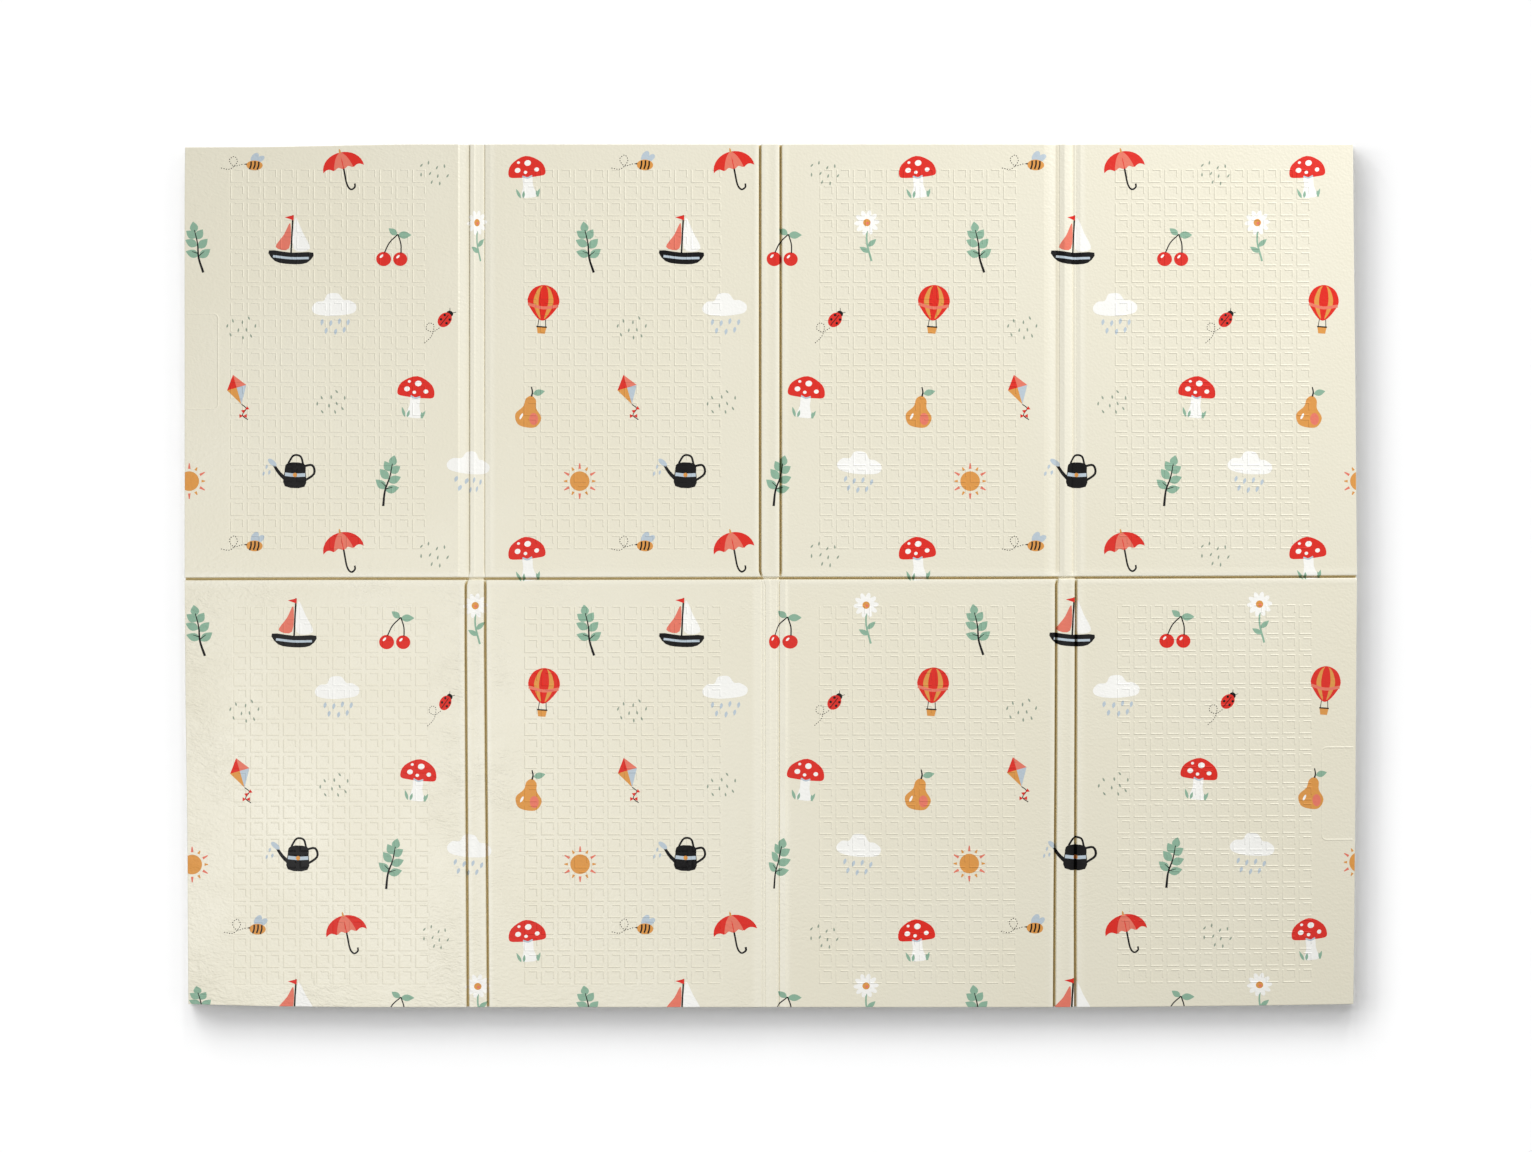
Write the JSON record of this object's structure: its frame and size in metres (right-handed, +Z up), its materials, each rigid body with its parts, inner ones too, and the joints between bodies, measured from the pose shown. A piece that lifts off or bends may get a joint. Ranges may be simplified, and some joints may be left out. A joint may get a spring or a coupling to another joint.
{
  "type": "folding foam play mat",
  "caption": "Flat folding baby play mat of pressed foam, with pressed fold lines in a map fold and a printed film on top.",
  "frame": {"origin": "middle of the underside, on the floor, at the centre of the bounding box's base", "axes": "+X along the longer side of the laid-out mat, +Y along its shorter side towards the top of the picture, +Z up through the thickness"},
  "size_m": [1.97, 1.45, 0.0106],
  "materials": {
    "film": "embossed semi-gloss cream film"
  },
  "bodies": {
    "root": {"play_mat": "film"}
  },
  "joints": []
}
